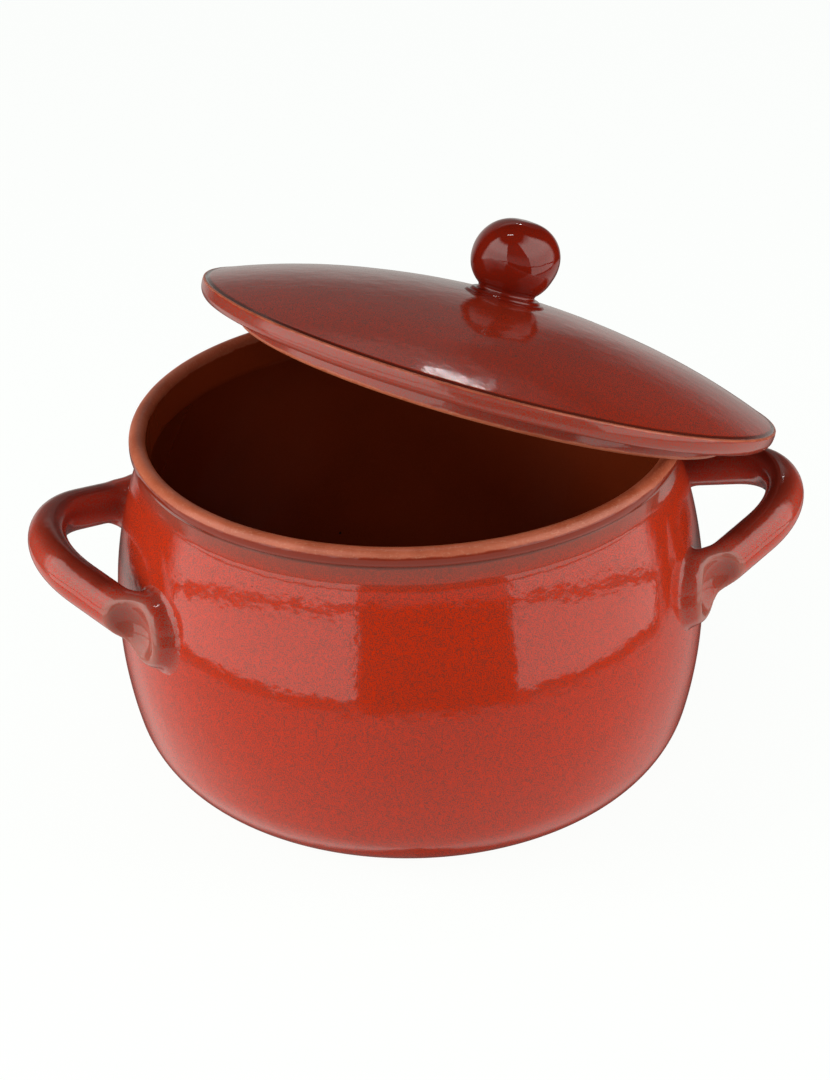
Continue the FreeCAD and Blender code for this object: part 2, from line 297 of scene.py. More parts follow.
def fingered(angle, r, z):
    """Slow dents where the ball was pressed and smoothed."""
    ball = min(max((z - 28.0) / 8.0, 0.0), 1.0) * min(r / 8.0, 1.0)
    dents = 0.40 * np.cos(3 * angle + 0.13 * z) + 0.35 * np.cos(4 * angle - 0.09 * z + 1.0)
    return dents * ball, 0.6 * np.cos(angle + 1.2) * ball * min(r / 19.0, 1.0)


knob_ball = lathe("knob_ball", knob_outline, 128, fingered, lid_place)

# %% [markdown]
# The handles are rolled coils, bent into a loop, with each end pressed on the wall by a thumb.
# Boxes and pipes can't show clay that has been squeezed, so each handle is a distance field:
# a number for every point of space that says how far it is from the clay. Fields can be
# blended, dented and faired into the wall, and then a net of faces is drawn where they are 0.

# %% Blends between fields
def melt(a, b, softness):
    """The union of two fields, with a fillet where they meet."""
    h = np.clip(0.5 + 0.5 * (b - a) / softness, 0, 1)
    return b * (1 - h) + a * h - softness * h * (1 - h)


def press_out(a, b, softness):
    """Field a with field b pressed out of it, with a rounded lip."""
    return -melt(-a, b, softness)


def egg(points, centre, axes, halves):
    """A field for an egg shape with its own three axes and half sizes."""
    local = (points - centre) @ np.array(axes).T / np.array(halves)
    size = np.linalg.norm(local, axis=1)
    slope = np.linalg.norm(local / np.array(halves), axis=1) + 1e-9
    return size * (size - 1.0) / slope

# %% [markdown]
# The handles' feet melt into the wall, so the field has to know how far each place is from the
# pot. To measure that for every point would be slow, and a shrinkwrap leaves a crease. The pot
# is round, so one table over radius and height is enough, and points are looked up in it.

# %% The pot's outside as a field
TABLE_STEP = 0.5


def wall_table(step=TABLE_STEP):
    """How far each place in an (r, z) table is from the pot's outside, minus inside it."""
    line = np.array(spread_out(pot_outside, 1.0))
    grid_r = np.arange(95.0, 185.0, step)
    grid_z = np.arange(60.0, 160.0, step)
    rr, zz = np.meshgrid(grid_r, grid_z, indexing="ij")
    near = np.full(rr.shape, 1e9)
    for a, b in zip(line, line[1:]):
        run = b - a
        part = np.clip(((rr - a[0]) * run[0] + (zz - a[1]) * run[1]) / (run @ run), 0, 1)
        near = np.minimum(near, np.hypot(rr - a[0] - part * run[0], zz - a[1] - part * run[1]))
    wall_r = np.interp(grid_z, line[4:, 1], line[4:, 0])
    return grid_r, grid_z, np.where(rr < wall_r[None, :], -near, near)


table_r, table_z, table_gap = wall_table()
print("wall table", table_gap.shape)


def wall_gap(points):
    """The distance from the pot's outside, looked up in the table."""
    r = np.hypot(points[:, 0], points[:, 1])
    i = np.clip((r - table_r[0]) / TABLE_STEP, 0, len(table_r) - 1.001)
    j = np.clip((points[:, 2] - table_z[0]) / TABLE_STEP, 0, len(table_z) - 1.001)
    a, b = i.astype(int), j.astype(int)
    u, v = i - a, j - b
    low = table_gap[a, b] * (1 - u) + table_gap[a + 1, b] * u
    high = table_gap[a, b + 1] * (1 - u) + table_gap[a + 1, b + 1] * u
    return low * (1 - v) + high * v

# %% [markdown]
# A remesh modifier could wrap the clay as well, but it rounds off small lips. The net has one
# point in each cell that the surface crosses, and the points then settle on the surface itself,
# so the lips stay, and the faces are nearly square, which shades well.

# %% Draw a net of faces over a field
def net(field, low, high, step):
    """Faces where a field crosses 0: one point in each cell it passes through."""
    axes = [np.arange(low[k], high[k] + step, step) for k in range(3)]
    shape = tuple(len(a) for a in axes)
    points = np.stack(np.meshgrid(*axes, indexing="ij"), axis=-1).reshape(-1, 3)
    values = field(points).reshape(shape)
    total = np.zeros([n - 1 for n in shape] + [3])
    count = np.zeros([n - 1 for n in shape])
    spans = [slice(0, -1), slice(1, None)]
    for axis in range(3):
        others = [k for k in range(3) if k != axis]
        for p in (0, 1):
            for q in (0, 1):
                pick = [None] * 3
                pick[others[0]], pick[others[1]] = spans[p], spans[q]
                first, second = list(pick), list(pick)
                first[axis], second[axis] = spans[0], spans[1]
                a, b = values[tuple(first)], values[tuple(second)]
                crosses = (a < 0) != (b < 0)
                part = np.where(crosses, a / np.where(crosses, a - b, 1.0), 0.0)
                offset = np.zeros(total.shape)
                offset[..., others[0]], offset[..., others[1]] = p, q
                offset[..., axis] = part
                total += offset * crosses[..., None]
                count += crosses
    used = count > 0
    number = np.full(count.shape, -1)
    number[used] = np.arange(used.sum())
    corner = np.argwhere(used)
    vertices = (corner + total[used] / count[used][:, None]) * step + np.array(low)
    faces = []
    for axis in range(3):
        others = [(axis + 1) % 3, (axis + 2) % 3]
        first = [slice(1, -1)] * 3
        first[axis] = slice(0, -1)
        second = list(first)
        second[axis] = slice(1, None)
        a, b = values[tuple(first)], values[tuple(second)]
        for cell in np.argwhere((a < 0) != (b < 0)):
            start = cell + 1
            start[axis] = cell[axis]
            ring = []
            for p, q in ((0, 0), (1, 0), (1, 1), (0, 1)):
                at = start.copy()
                at[others[0]] -= p
                at[others[1]] -= q
                ring.append(int(number[tuple(at)]))
            inside_first = a[tuple(cell)] < 0
            faces.append(ring if inside_first else ring[::-1])
    return vertices, faces


def settle(field, vertices, rounds=4, nudge=0.05):
    """Moves points along the field's slope until they lie on its surface."""
    for _ in range(rounds):
        slope = np.stack([
            (field(vertices + shift) - field(vertices - shift)) / (2 * nudge)
            for shift in np.eye(3) * nudge], axis=1)
        size = (slope ** 2).sum(axis=1, keepdims=True) + 1e-6
        vertices = vertices - np.clip(field(vertices)[:, None] * slope / size, -0.5, 0.5)
    return vertices

# %% [markdown]
# A coil is rolled by hand, so its section is a little flat, and its legs run nearly straight
# from the wall into the bend. A bevelled curve would do for the loop but not for its ends, so
# only the middle line is drawn here, and the clay is a distance from that line.

# %% Roll and bend a coil
RISE = math.radians(21.0)
ROOT_HEIGHT, ROOT_RADIUS = 113.0, 126.0


def handle_path(reach, bend, leg_angle, spread, turn):
    """The middle line, a leg, a bend and a leg on a rising plane, and the way outwards."""
    half = math.radians(leg_angle)
    bow = [(reach - bend + bend * math.cos(a), bend * math.sin(a))
           for a in np.linspace(-half, half, 25)]
    run = (spread - bow[-1][1]) / math.cos(half)
    leg = [(bow[-1][0] - k * run * math.sin(half), bow[-1][1] + k * run * math.cos(half))
           for k in np.linspace(0.12, 0.84, 6)]
    flat = [(u, -s) for u, s in leg[::-1]] + bow + leg
    base = ROOT_HEIGHT - ROOT_RADIUS * math.tan(RISE)
    line = np.array([(u * math.cos(RISE), s, base + u * math.sin(RISE)) for u, s in flat])
    c, n = math.cos(math.radians(turn)), math.sin(math.radians(turn))
    return line @ np.array(((c, n, 0), (-n, c, 0), (0, 0, 1))), (c, n)


def coil_gap(points, line, normal, thickness, flatten):
    """The distance from a coil whose section is a little taller than it is wide."""
    best = np.full(len(points), 1e9)
    for a, b in zip(line, line[1:]):
        run = b - a
        part = np.clip(((points - a) @ run) / (run @ run), 0, 1)
        away = points - a - part[:, None] * run
        rise = away @ normal
        gap = np.sqrt(np.maximum((away ** 2).sum(axis=1) - rise ** 2 * (1 - flatten ** 2), 0))
        best = np.minimum(best, gap)
    return best - thickness

# %% [markdown]
# At each end of a handle the coil flattens into a pad, and a thumb has pressed a hollow into
# it and pushed up a lip. Sculpting would do this by hand, once. Here the pads are egg shapes
# melted onto the coil and the hollows are eggs pressed out, so both handles can share them.

# %% Press a handle on the wall
COIL_HALF_WIDTH = 8.3


def handle_field(reach, bend, leg_angle, spread, turn):
    line, (c, n) = handle_path(reach, bend, leg_angle, spread, turn)
    outward = np.array((c, n, 0))
    normal = outward * -math.sin(RISE) + np.array((0, 0, math.cos(RISE)))
    pads = []
    for hand in (-1, 1):
        angle = math.radians(turn) + hand * math.asin((spread + 3.5) / ROOT_RADIUS)
        away = np.array((math.cos(angle), math.sin(angle), 0))
        aside = hand * np.array((-away[1], away[0], 0))
        up = np.array((0.0, 0.0, 1.0))
        slant = math.radians(20.0)
        long_way = up * math.cos(slant) - aside * math.sin(slant)
        short_way = aside * math.cos(slant) + up * math.sin(slant)
        foot = away * ROOT_RADIUS + up * (ROOT_HEIGHT - 6.0)
        pads.append((away, aside, up, long_way, short_way, foot))

    def thumb_gap(points, away, aside, up, axes, foot):
        return egg(points, foot + away * 15.5 - aside * 0.5 + up * 2.0, axes, (11.0, 10.0, 14.0))

    def pressed(points):
        """How far each point is from the nearer thumb mark, which the glaze follows."""
        marks = [thumb_gap(points, a, b, u, (a, s, t), foot) for a, b, u, t, s, foot in pads]
        return np.minimum(*marks)

    def field(points):
        clay = coil_gap(points, line, normal, COIL_HALF_WIDTH, 0.86)
        for away, aside, up, long_way, short_way, foot in pads:
            axes = (away, short_way, long_way)
            pad = egg(points, foot + away * 2.0 - aside * 1.0, axes, (10.5, 14.0, 16.0))
            clay = melt(clay, pad, 8.0)
        for away, aside, up, long_way, short_way, foot in pads:
            axes = (away, short_way, long_way)
            clay = press_out(clay, thumb_gap(points, away, aside, up, axes, foot), 3.0)
        wall = wall_gap(points)
        faired = melt(clay, wall, 5.0) + 0.15
        return np.maximum(np.maximum(faired, -(wall + 1.5)), clay - 12.0)

    return field, pressed, line


def press_handle(name, step=1.3, **shape):
    field, pressed, line = handle_field(**shape)
    low, high = line.min(axis=0) - 24.0, line.max(axis=0) + 24.0
    vertices, faces = net(field, low, high, step)
    vertices = settle(field, vertices)
    piece = finish_piece(name, (vertices * MM).tolist(), faces, pressed(vertices))
    print(name, len(vertices), "points")
    return piece


handle_coil_left = press_handle(
    "handle_coil_left", reach=167.2, bend=46.5, leg_angle=46.0, spread=53.0, turn=182.5)
handle_coil_right = press_handle(
    "handle_coil_right", reach=175.4, bend=39.0, leg_angle=55.0, spread=49.0, turn=-2.0)

# %% [markdown]
# Now the finish. Nodes could be placed one by one in the shader editor, but in code that is
# long and hard to read. A few helpers make, feed and combine them, so that what follows reads
# like a glaze recipe.

# %% A helper for nodes
def add(tree, kind, **settings):
    """Adds a node and sets its own properties."""
    node = tree.nodes.new(kind)
    for key, value in settings.items():
        setattr(node, key, value)
    return node


def feed(tree, node, **sources):
    """Links or sets a node's inputs, called by name (From_Min) or by number (n0).

    A source is another node's socket or a plain value.
    """
    for key, source in sources.items():
        numbered = key[0] == "n" and key[1:].isdigit()
        socket = node.inputs[int(key[1:]) if numbered else key.replace("_", " ")]
        if isinstance(source, bpy.types.NodeSocket):
            tree.links.new(source, socket)
        else:
            socket.default_value = source
    return node


def calc(tree, operation, a, b=0.0, clamp=False):
    node = add(tree, "ShaderNodeMath", operation=operation, use_clamp=clamp)
    feed(tree, node, n0=a, n1=b)
    return node.outputs[0]


def ramp(tree, value, low, high, to_low=0.0, to_high=1.0):
    """A smooth step from to_low to to_high as the value goes from low to high."""
    node = add(tree, "ShaderNodeMapRange", interpolation_type="SMOOTHSTEP")
    feed(tree, node, Value=value, From_Min=low, From_Max=high, To_Min=to_low, To_Max=to_high)
    return node.outputs["Result"]


def blend_colours(tree, factor, a, b):
    node = add(tree, "ShaderNodeMix", data_type="RGBA")
    return feed(tree, node, n0=factor, n6=a, n7=b).outputs[2]


def noise(tree, place, scale, detail=2.0, roughness=0.5):
    node = add(tree, "ShaderNodeTexNoise")
    feed(tree, node, Vector=place, Scale=scale, Detail=detail, Roughness=roughness)
    return node.outputs[0]


def new_group(name, inputs, outputs):
    """Starts a node group and gives it back with its own input sockets and output node."""
    group = bpy.data.node_groups.new(name, "ShaderNodeTree")
    for label, kind, value in inputs:
        socket = group.interface.new_socket(label, in_out="INPUT", socket_type=kind)
        if value is not None:
            socket.default_value = value
    for label, kind in outputs:
        group.interface.new_socket(label, in_out="OUTPUT", socket_type=kind)
    return group, group.nodes.new("NodeGroupInput").outputs, group.nodes.new("NodeGroupOutput")


def place_group(tree, group, **sources):
    node = tree.nodes.new("ShaderNodeGroup")
    node.node_tree = group
    return feed(tree, node, **sources).outputs


COLOUR, VALUE, VECTOR = "NodeSocketColor", "NodeSocketFloat", "NodeSocketVector"

# %% [markdown]
# The glaze is a reactive one: iron red with fine dark freckles of under a millimetre, a soft
# cloudiness over larger areas, and a pinhole here and there where a bubble burst. Painting it
# would need a picture, so noises of three sizes make it instead. It is a group, because the
# pot, the handles, the lid and the knob all wear it, each its own way.

# %% Group: freckled glaze
freckled_glaze, given, result = new_group("freckled_glaze", [
    ("Place", VECTOR, None), ("Red", COLOUR, (0.42, 0.02, 0.006, 1)),
    ("Freckle", COLOUR, (0.16, 0.05, 0.045, 1)), ("Freckles", VALUE, 0.5),
    ("Cloud", VALUE, 0.3), ("Cloud Colour", COLOUR, (0.30, 0.03, 0.015, 1))],
    [("Colour", COLOUR), ("Gloss Loss", VALUE), ("Skin", VALUE)])
fine = noise(freckled_glaze, given["Place"], 2300.0, 1.0, 0.5)
coarse = noise(freckled_glaze, given["Place"], 420.0, 2.0, 0.5)
cloud = noise(freckled_glaze, given["Place"], 16.0, 3.0, 0.55)
mixed = calc(freckled_glaze, "ADD", calc(freckled_glaze, "MULTIPLY", fine, 0.90),
             calc(freckled_glaze, "MULTIPLY", coarse, 0.10))
dots = ramp(freckled_glaze, mixed, 0.46, 0.56)
dots = calc(freckled_glaze, "MULTIPLY", dots, given["Freckles"], clamp=True)
cloudy = calc(freckled_glaze, "MULTIPLY", ramp(freckled_glaze, cloud, 0.38, 0.68), given["Cloud"])
clouded = blend_colours(freckled_glaze, cloudy, given["Red"], given["Cloud Colour"])
speckled = blend_colours(freckled_glaze, dots, clouded, given["Freckle"])
cells = add(freckled_glaze, "ShaderNodeTexVoronoi", feature="F1")
feed(freckled_glaze, cells, Vector=given["Place"], Scale=22.0, Randomness=1.0)
hole = ramp(freckled_glaze, cells.outputs["Distance"], 0.012, 0.022, 1.0, 0.0)
bubbled = blend_colours(freckled_glaze, hole, speckled, (0.012, 0.006, 0.006, 1))
orange_peel = noise(freckled_glaze, given["Place"], 75.0, 2.0, 0.5)
ripple = noise(freckled_glaze, given["Place"], 260.0)
skin = calc(freckled_glaze, "ADD", calc(freckled_glaze, "MULTIPLY", orange_peel, 0.8),
            calc(freckled_glaze, "MULTIPLY", ripple, 0.20))
skin = calc(freckled_glaze, "SUBTRACT", skin, calc(freckled_glaze, "MULTIPLY", hole, 1.5))
for source, socket in ((bubbled, "Colour"), (dots, "Gloss Loss"), (skin, "Skin")):
    freckled_glaze.links.new(source, result.inputs[socket])

# %% [markdown]
# Where glaze is wiped off or worn away, the fired clay shows: warm terracotta with fine grit
# and paler dust. It could be a material of its own on its own faces, but then it would stop at
# a hard line, so it is a group that each glaze mixes in with a mask.

# %% Group: fired clay
fired_clay, given, result = new_group("fired_clay", [
    ("Place", VECTOR, None), ("Clay", COLOUR, (0.36, 0.088, 0.040, 1))],
    [("Colour", COLOUR), ("Grit", VALUE)])
grit = noise(fired_clay, given["Place"], 900.0, 3.0, 0.65)
smear = noise(fired_clay, given["Place"], 60.0, 3.0, 0.6)
toned = blend_colours(fired_clay, ramp(fired_clay, smear, 0.35, 0.7),
                      given["Clay"], (0.27, 0.055, 0.020, 1))
dust = calc(fired_clay, "MULTIPLY", ramp(fired_clay, grit, 0.52, 0.72), 0.5)
dusty = blend_colours(fired_clay, dust, toned, (0.44, 0.19, 0.11, 1))
fired_clay.links.new(dusty, result.inputs["Colour"])
fired_clay.links.new(grit, result.inputs["Grit"])

# %% [markdown]
# Glaze never stops at a clean line: it creeps, beads up and tears. This group takes the length
# along the outline, shakes it with a noise, and gives a mask that is 1 between two lengths and
# fades outside them. A painted mask would do the same, but only for one size of pot.

# %% Group: ragged band
ragged_band, given, result = new_group("ragged_band", [
    ("Place", VECTOR, None), ("Along", VALUE, 0.0), ("From", VALUE, 0.0), ("To", VALUE, 1.0),
    ("Soft", VALUE, 0.5), ("Ragged", VALUE, 1.0)], [("Mask", VALUE)])
tear = noise(ragged_band, given["Place"], 120.0, 3.0, 0.6)
tear = calc(ragged_band, "MULTIPLY", calc(ragged_band, "SUBTRACT", tear, 0.5), given["Ragged"])
moved = calc(ragged_band, "ADD", given["Along"], tear)
before = calc(ragged_band, "SUBTRACT", given["From"], given["Soft"])
after = calc(ragged_band, "ADD", given["To"], given["Soft"])
rising = ramp(ragged_band, moved, before, given["From"])
falling = ramp(ragged_band, moved, given["To"], after, 1.0, 0.0)
ragged_band.links.new(calc(ragged_band, "MULTIPLY", rising, falling), result.inputs["Mask"])
print("groups", sorted(group.name for group in bpy.data.node_groups))

# %% [markdown]
# The shader stays in each material. A glaze is glass on clay, so it is a glossy dielectric
# over a coloured base, and the bare clay is the same shader made rough. A bump built from the
# glaze's own skin breaks the edges of the reflections, as it does on the real pot.

# %% Start a glazed material
def start_material(name):
    material = bpy.data.materials.new(name)
    material.use_nodes = True
    tree = material.node_tree
    tree.nodes.clear()
    output = tree.nodes.new("ShaderNodeOutputMaterial")
    shader = tree.nodes.new("ShaderNodeBsdfPrincipled")
    shader.inputs["IOR"].default_value = 1.5
    tree.links.new(shader.outputs[0], output.inputs["Surface"])
    place = tree.nodes.new("ShaderNodeTexCoord").outputs["Object"]
    return material, tree, shader, place


def read_along(tree):
    node = tree.nodes.new("ShaderNodeAttribute")
    node.attribute_name = "along"
    return node.outputs["Fac"]


def set_bump(tree, shader, height, strength, distance):
    bump = add(tree, "ShaderNodeBump")
    feed(tree, bump, Height=height, Strength=strength, Distance=distance)
    tree.links.new(bump.outputs[0], shader.inputs["Normal"])


def band(tree, place, along, start, end, soft, ragged):
    return place_group(tree, ragged_band, Place=place, Along=along, From=start, To=end,
                       Soft=soft, Ragged=ragged)["Mask"]


CLAY_ROUGHNESS, GRIT_HEIGHT = 0.28, 0.5
SKIN_STRENGTH, SKIN_DEPTH = 0.45, 0.0006


def wear_to_clay(tree, shader, place, colour, roughness, height, bare):
    """Mixes in bare clay where the mask says and joins everything to the shader."""
    clay = place_group(tree, fired_clay, Place=place)
    tree.links.new(blend_colours(tree, bare, colour, clay["Colour"]), shader.inputs["Base Color"])
    rough = calc(tree, "ADD", roughness, calc(tree, "MULTIPLY", bare, CLAY_ROUGHNESS))
    tree.links.new(rough, shader.inputs["Roughness"])
    gritty = calc(tree, "MULTIPLY", calc(tree, "MULTIPLY", clay["Grit"], bare), GRIT_HEIGHT)
    set_bump(tree, shader, calc(tree, "ADD", height, gritty), SKIN_STRENGTH, SKIN_DEPTH)

# %% [markdown]
# The pot's finish. Glaze covers the wall down to the foot, thins to grey-brown in the waist
# under the bead, where a dark line in the crease below the bead is painted shade, stops at the
# wiped rim, and is set a much darker brown inside, which is painted shade in the pot's hollow.
# Separate materials for wall, rim and inside would meet in hard lines, so one material follows
# the length along the outline and goes softly from each to the next.

# %% Material: the pot
def pot_material():
    material, tree, shader, place = start_material("pot_glaze")
    along = read_along(tree)
    outside = place_group(
        tree, freckled_glaze, Place=place, Red=(0.44, 0.021, 0.0025, 1),
        Freckle=(0.17, 0.024, 0.012, 1), Freckles=0.95, Cloud=0.3,
        Cloud_Colour=(0.38, 0.021, 0.004, 1))
    # Painted shade: the inside glaze is a much darker brown than the outside, for the shade in the
    # pot's hollow.
    inside = place_group(
        tree, freckled_glaze, Place=place, Red=(0.19, 0.024, 0.0045, 1),
        Freckle=(0.22, 0.032, 0.010, 1), Freckles=0.4, Cloud=0.5,
        Cloud_Colour=(0.13, 0.018, 0.0040, 1))
    waist = band(tree, place, along, rim_start - 6.5, rim_start - 3.6, 13.0, 4.0)
    neck_glaze_and_crease_shade = blend_colours(tree, calc(tree, "MULTIPLY", waist, 0.60), outside["Colour"],
                         (0.125, 0.050, 0.036, 1))
    # Painted shade: a dark line in the crease under the bead's overhang.
    crease_shade = band(tree, place, along, rim_start - 5.6, rim_start - 4.4, 0.9, 0.8)
    neck_glaze_and_crease_shade = blend_colours(tree, calc(tree, "MULTIPLY", crease_shade, 0.75), neck_glaze_and_crease_shade, (0.07, 0.018, 0.010, 1))
    bead = band(tree, place, along, rim_start - 3.6, rim_start + 0.6, 1.0, 1.2)
    neck_glaze_and_crease_shade = blend_colours(tree, calc(tree, "MULTIPLY", bead, 0.85), neck_glaze_and_crease_shade, (0.15, 0.016, 0.006, 1))
    # Where the outline turns inside, the painted shade of the hollow takes over.
    inside_shade_mask = ramp(tree, along, rim_end - 1.0, rim_end + 1.0)
    colour = blend_colours(tree, inside_shade_mask, neck_glaze_and_crease_shade, inside["Colour"])
    wiped = band(tree, place, along, rim_start + 1.6, rim_end - 0.2, 1.0, 1.6)
    creeping = calc(tree, "ADD", along, calc(tree, "MULTIPLY", noise(tree, place, 90.0), 3.0))
    foot = ramp(tree, creeping, 72.5, 74.0, 1.0, 0.0)
    bare = calc(tree, "MAXIMUM", calc(tree, "MULTIPLY", wiped, 0.93), foot)
    roughness = calc(tree, "ADD", 0.07, calc(tree, "MULTIPLY", outside["Gloss Loss"], 0.05))
    wear_to_clay(tree, shader, place, colour, roughness, outside["Skin"], bare)
    return material


glaze_on_pot = pot_material()

# %% [markdown]
# The handles are darkened to a dark maroon where their surfaces face up, away from the thumb
# marks, which is painted shade for the tops that less light reaches, and have a grey bloom on the
# lips round the pressed hollows. The way the surface faces says where the painted shade goes,
# and the stored distance from the thumb mark says where the lips are, so these two drive the mix.

# %% Material: the handles
def handle_material():
    material, tree, shader, place = start_material("handle_glaze")
    body = place_group(
        tree, freckled_glaze, Place=place, Red=(0.38, 0.019, 0.005, 1),
        Freckle=(0.19, 0.075, 0.055, 1), Freckles=0.85, Cloud=0.4,
        Cloud_Colour=(0.26, 0.020, 0.009, 1))
    facing = add(tree, "ShaderNodeSeparateXYZ")
    feed(tree, facing, Vector=tree.nodes.new("ShaderNodeNewGeometry").outputs["Normal"])
    patchy = calc(tree, "MULTIPLY", noise(tree, place, 35.0, 2.0), 0.5)
    # Painted shade: surfaces that face up are darkened, because less light falls on them.
    top_shade_mask = ramp(tree, calc(tree, "ADD", facing.outputs["Z"], patchy), 0.75, 1.30)
    pressed = read_along(tree)
    loop = ramp(tree, pressed, 5.0, 14.0)
    painted_top_shade = calc(tree, "MULTIPLY", calc(tree, "MULTIPLY", top_shade_mask, loop), 0.9)
    # The painted shade turns the tops a dark maroon, away from the thumb marks.
    colour = blend_colours(tree, painted_top_shade, body["Colour"], (0.13, 0.013, 0.006, 1))
    lip = calc(tree, "ADD", pressed, calc(tree, "MULTIPLY", patchy, 6.0))
    lip = calc(tree, "MULTIPLY", ramp(tree, lip, 0.5, 2.2), ramp(tree, lip, 4.0, 6.5, 1.0, 0.0))
    colour = blend_colours(tree, calc(tree, "MULTIPLY", lip, 0.5), colour, (0.22, 0.105, 0.080, 1))
    roughness = calc(tree, "ADD", 0.07, calc(tree, "MULTIPLY", body["Gloss Loss"], 0.05))
    wear_to_clay(tree, shader, place, colour, roughness, body["Skin"], 0.0)
    return material


glaze_on_handles = handle_material()

# %% [markdown]
# The lid's glaze is set a darker, browner red than the pot's, which is painted shade on the
# dome that faces up, and below its sharp edge and underneath it is darker still, as painted
# shade under the lid. Its sharp edge is worn to a thin tan line with dark glaze caught in the
# groove above it, and the flange's foot is bare clay. An edge-finding bevel node would wear
# every edge alike, so bands along the outline are used.

# %% Material: the lid
def lid_material():
    material, tree, shader, place = start_material("lid_glaze")
    along = read_along(tree)
    # Painted shade: the dome's red is set darker than the pot's, for the less light on a face that
    # looks up.
    top_glaze_and_shade = place_group(
        tree, freckled_glaze, Place=place, Red=(0.38, 0.020, 0.004, 1),
        Freckle=(0.11, 0.024, 0.014, 1), Freckles=0.9, Cloud=0.4,
        Cloud_Colour=(0.26, 0.018, 0.006, 1))
    # Painted shade: below the sharp edge and underneath, the glaze is set darker still.
    below_glaze_and_shade = place_group(
        tree, freckled_glaze, Place=place, Red=(0.27, 0.022, 0.008, 1),
        Freckle=(0.15, 0.060, 0.046, 1), Freckles=0.8, Cloud=0.4,
        Cloud_Colour=(0.22, 0.03, 0.02, 1))
    colour = blend_colours(tree, ramp(tree, along, edge_at - 1.0, edge_at + 1.0),
                           top_glaze_and_shade["Colour"], below_glaze_and_shade["Colour"])
    groove = band(tree, place, along, edge_at - 3.4, edge_at - 1.9, 0.7, 0.8)
    colour = blend_colours(tree, calc(tree, "MULTIPLY", groove, 0.8), colour, (0.035, 0.010, 0.007, 1))
    worn = band(tree, place, along, edge_at - 1.3, edge_at - 0.3, 0.4, 0.9)
    foot = band(tree, place, along, flange_at - 1.2, flange_at + 7.0, 0.8, 1.8)
    bare = calc(tree, "MAXIMUM", calc(tree, "MULTIPLY", worn, 0.8), foot)
    roughness = calc(tree, "ADD", 0.08, calc(tree, "MULTIPLY", top_glaze_and_shade["Gloss Loss"], 0.06))
    wear_to_clay(tree, shader, place, colour, roughness, top_glaze_and_shade["Skin"], bare)
    return material


glaze_on_lid = lid_material()

# %% [markdown]
# The knob was held by the foot and dipped again, so its glaze is the thickest, the darkest and
# the smoothest. It is the same recipe with deeper colours, fewer freckles and no bare clay.

# %% Material: the knob
def knob_material():
    material, tree, shader, place = start_material("knob_glaze")
    ball = place_group(
        tree, freckled_glaze, Place=place, Red=(0.18, 0.008, 0.002, 1),
        Freckle=(0.08, 0.012, 0.007, 1), Freckles=0.5, Cloud=0.5,
        Cloud_Colour=(0.11, 0.006, 0.002, 1))
    roughness = calc(tree, "ADD", 0.05, calc(tree, "MULTIPLY", ball["Gloss Loss"], 0.04))
    wear_to_clay(tree, shader, place, ball["Colour"], roughness, ball["Skin"], 0.0)
    return material


glaze_on_knob = knob_material()

# %% [markdown]
# Each piece now gets its glaze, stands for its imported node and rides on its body, so that the
# lid and its knob lift off together. Parenting the pieces to each other would do that as well,
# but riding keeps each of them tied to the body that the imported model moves.

# %% Glaze the pieces and join them to the frame
for piece, node, body, slot_name, glaze in (
        (pot_shell, "pot_body", "pot", "pot_glaze", glaze_on_pot),
        (handle_coil_left, "handle_left", "pot", "handle_glaze", glaze_on_handles),
        (handle_coil_right, "handle_right", "pot", "handle_glaze", glaze_on_handles),
        (lid_dome, "lid", "lid", "lid_glaze", glaze_on_lid),
        (knob_ball, "lid_knob", "lid", "knob_glaze", glaze_on_knob)):
    piece.data.materials.append(glaze)
    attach(piece, body)
    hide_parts(node)
    print(piece.name, "rides on", body, "and wears", glaze.name)

# %% [markdown]
# The studio. A glossy pot shows its room: a bright table below, a softbox on each side and
# darkness between them, where the camera stands. Real panels round the pot would do it, but
# they would stand in the way of other views. The sky of the scene is drawn as the room for
# reflections instead, and is plain white for everything else, which keeps the light soft.

# %% Measure a direction in the room
def look_directions(tree):
    """A direction's compass (0 to the camera, plus to the right), height and way back."""
    way = tree.nodes.new("ShaderNodeTexCoord").outputs["Generated"]
    turned = add(tree, "ShaderNodeVectorRotate", rotation_type="Z_AXIS")
    feed(tree, turned, Vector=way, Angle=-CAMERA_TURN)
    parts = add(tree, "ShaderNodeSeparateXYZ")
    feed(tree, parts, Vector=turned.outputs[0])
    x, y, z = parts.outputs
    compass = calc(tree, "DEGREES", calc(tree, "ARCTAN2", x, calc(tree, "MULTIPLY", y, -1.0)))
    return compass, calc(tree, "DEGREES", calc(tree, "ARCSINE", z)), y

# %% [markdown]
# The two softboxes make one window with rounded corners that sags at its ends, cut by the dark
# gap. All its sizes are degrees as seen from the pot.

# %% The window and its softboxes
WINDOW_LEFT, WINDOW_RIGHT, WINDOW_FOOT, WINDOW_TOP = -101.0, 105.0, -21.0, 4.5
WINDOW_SAG, WINDOW_CORNER = 0.0017, 5.0
GAP_LEFT, GAP_RIGHT = -20.0, 37.0
LEFT_LIGHT, RIGHT_LIGHT = 1.75, 1.55


def inside_window(tree, compass, height):
    """How many degrees a direction lies inside the window's outline."""
    sag = calc(tree, "MULTIPLY", calc(tree, "MULTIPLY", compass, compass), WINDOW_SAG)
    inside = calc(tree, "SUBTRACT", calc(tree, "SUBTRACT", WINDOW_TOP, sag), height)
    for edge in (calc(tree, "SUBTRACT", height, WINDOW_FOOT),
                 calc(tree, "SUBTRACT", compass, WINDOW_LEFT),
                 calc(tree, "SUBTRACT", WINDOW_RIGHT, compass)):
        rounded = add(tree, "ShaderNodeMath", operation="SMOOTH_MIN")
        inside = feed(tree, rounded, n0=inside, n1=edge, n2=WINDOW_CORNER).outputs[0]
    return inside


